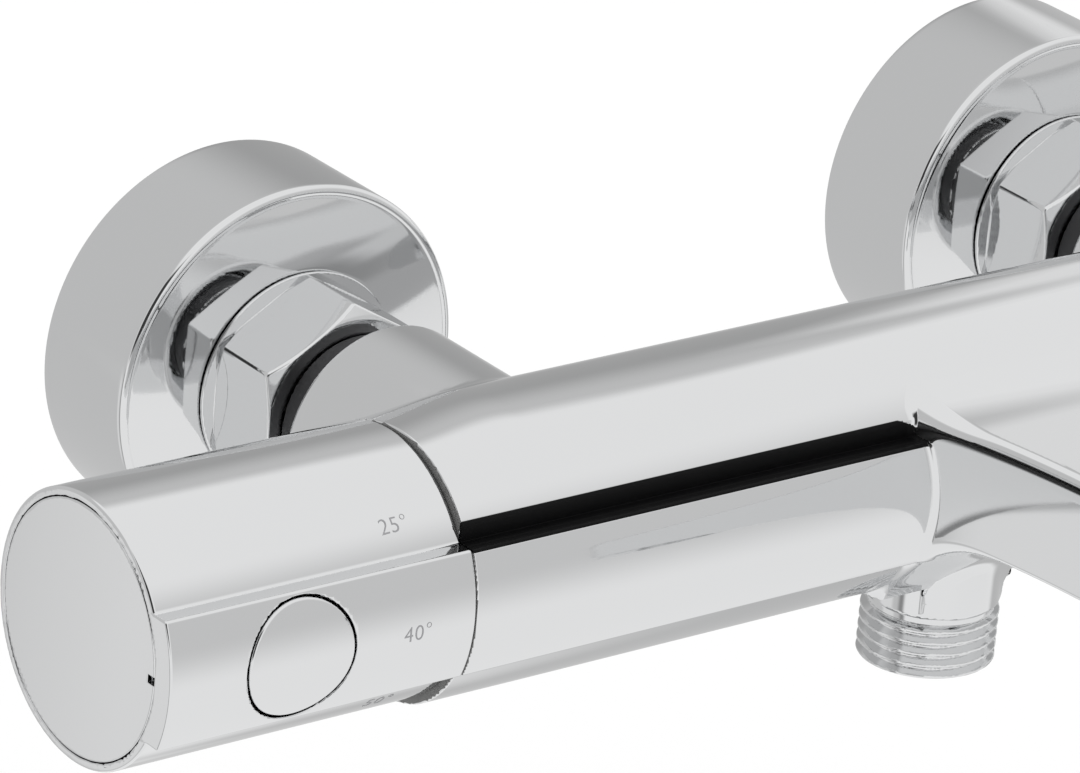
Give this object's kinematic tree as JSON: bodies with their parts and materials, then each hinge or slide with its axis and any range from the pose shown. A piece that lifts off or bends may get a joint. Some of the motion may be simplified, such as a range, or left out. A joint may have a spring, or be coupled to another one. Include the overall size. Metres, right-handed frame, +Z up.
{
  "type": "thermostatic bath and shower valve",
  "caption": "Exposed wall-mounted thermostatic bath and shower valve with round barrel, front visor, flat spout, hose outlet and eccentric wall unions.",
  "frame": {"origin": "where the axis of the hot wall thread (left, seen from the room) meets the wall plane", "axes": "+X along the barrel from the temperature handle to the flow handle, +Y into the wall, +Z up"},
  "size_m": [0.3034, 0.2217, 0.0646],
  "materials": {
    "polished_chrome": "mirror polished chrome plate",
    "black_trim": "black trim",
    "turned_brass": "turned",
    "seal_rubber": "matte",
    "white_plastic": "moulded",
    "dark_plastic": "moulded",
    "spring_steel": "drawn wire",
    "disc_ceramic": "lapped"
  },
  "bodies": {
    "mixer": {"body_casting": "polished_chrome", "trim_strip_left": "black_trim", "trim_strip_right": "black_trim", "inlet_seat_hot": "turned_brass", "inlet_seat_cold": "turned_brass", "union_nut_hot": "polished_chrome", "union_nut_cold": "polished_chrome", "union_washers": "seal_rubber", "wall_union_hot": "polished_chrome", "wall_union_cold": "polished_chrome", "escutcheon_hot": "polished_chrome", "escutcheon_cold": "polished_chrome", "inlet_check_housings": "white_plastic", "inlet_check_spring_hot": "spring_steel", "inlet_check_spring_cold": "spring_steel", "thermostat_housing": "white_plastic", "thermostat_retaining_nut": "turned_brass", "thermostat_o_rings": "seal_rubber", "piston_spring": "spring_steel", "temperature_stop_ring": "white_plastic", "headwork_gasket": "seal_rubber", "ceramic_disc_fixed": "disc_ceramic", "headwork_housing": "turned_brass", "headwork_retaining_nut": "turned_brass", "headwork_o_rings": "seal_rubber", "flow_stop_ring": "white_plastic", "outlet_nipple": "polished_chrome", "outlet_check_housing": "white_plastic", "outlet_check_spring": "spring_steel", "aerator_housing": "polished_chrome", "aerator_insert": "white_plastic", "aerator_washer": "seal_rubber"},
    "temperature_handle": {"temperature_handle_shell": "polished_chrome", "temperature_handle_cap": "polished_chrome", "temperature_handle_hub": "white_plastic", "temperature_handle_screw": "spring_steel", "thermostat_spindle": "turned_brass", "temperature_button_spring": "spring_steel"},
    "temperature_button": {"temperature_button": "polished_chrome"},
    "thermostat_piston": {"regulating_piston": "dark_plastic", "wax_element": "turned_brass"},
    "flow_handle": {"flow_handle_shell": "polished_chrome", "flow_handle_cap": "polished_chrome", "flow_handle_hub": "white_plastic", "flow_handle_screw": "spring_steel", "headwork_spindle": "turned_brass", "ceramic_disc_turning": "disc_ceramic", "flow_button_spring": "spring_steel"},
    "flow_button": {"flow_button": "polished_chrome"},
    "inlet_poppet_hot": {"inlet_check_poppet_hot": "dark_plastic"},
    "inlet_poppet_cold": {"inlet_check_poppet_cold": "dark_plastic"},
    "outlet_poppet": {"outlet_check_poppet": "dark_plastic"}
  },
  "joints": [
    {"name": "temperature_turn", "type": "hinge", "parent": "mixer", "child": "temperature_handle", "pos_m": [-0.0254, -0.0804, 0.005], "axis": [1, 0, 0], "range_deg": [-43, 43]},
    {"name": "temperature_button_press", "type": "slide", "parent": "temperature_handle", "child": "temperature_button", "axis": [0, 1, 0], "range_m": [0, 0.002], "stiffness_N_per_m": 1500, "springref_m": -0.001, "deforming": ["temperature_button_spring"]},
    {"name": "piston_slide", "type": "slide", "parent": "mixer", "child": "thermostat_piston", "axis": [1, 0, 0], "range_m": [-0.0006, 0.0006], "deforming": ["piston_spring"]},
    {"name": "flow_turn", "type": "hinge", "parent": "mixer", "child": "flow_handle", "pos_m": [0.1754, -0.0804, 0.005], "axis": [1, 0, 0], "range_deg": [-90, 90]},
    {"name": "flow_button_press", "type": "slide", "parent": "flow_handle", "child": "flow_button", "axis": [0, 1, 0], "range_m": [0, 0.002], "stiffness_N_per_m": 1500, "springref_m": -0.001, "deforming": ["flow_button_spring"]},
    {"name": "inlet_poppet_hot_open", "type": "slide", "parent": "mixer", "child": "inlet_poppet_hot", "axis": [0, -1, 0], "range_m": [0, 0.002], "stiffness_N_per_m": 200, "springref_m": -0.002, "deforming": ["inlet_check_spring_hot"]},
    {"name": "inlet_poppet_cold_open", "type": "slide", "parent": "mixer", "child": "inlet_poppet_cold", "axis": [0, -1, 0], "range_m": [0, 0.002], "stiffness_N_per_m": 200, "springref_m": -0.002, "deforming": ["inlet_check_spring_cold"]},
    {"name": "outlet_poppet_open", "type": "slide", "parent": "mixer", "child": "outlet_poppet", "axis": [0, 0, -1], "range_m": [0, 0.002], "stiffness_N_per_m": 200, "springref_m": -0.002, "deforming": ["outlet_check_spring"]}
  ],
  "couplings": [
    {"joint": "piston_slide", "follows": "temperature_turn", "m_per_rad": 0.00079577}
  ]
}
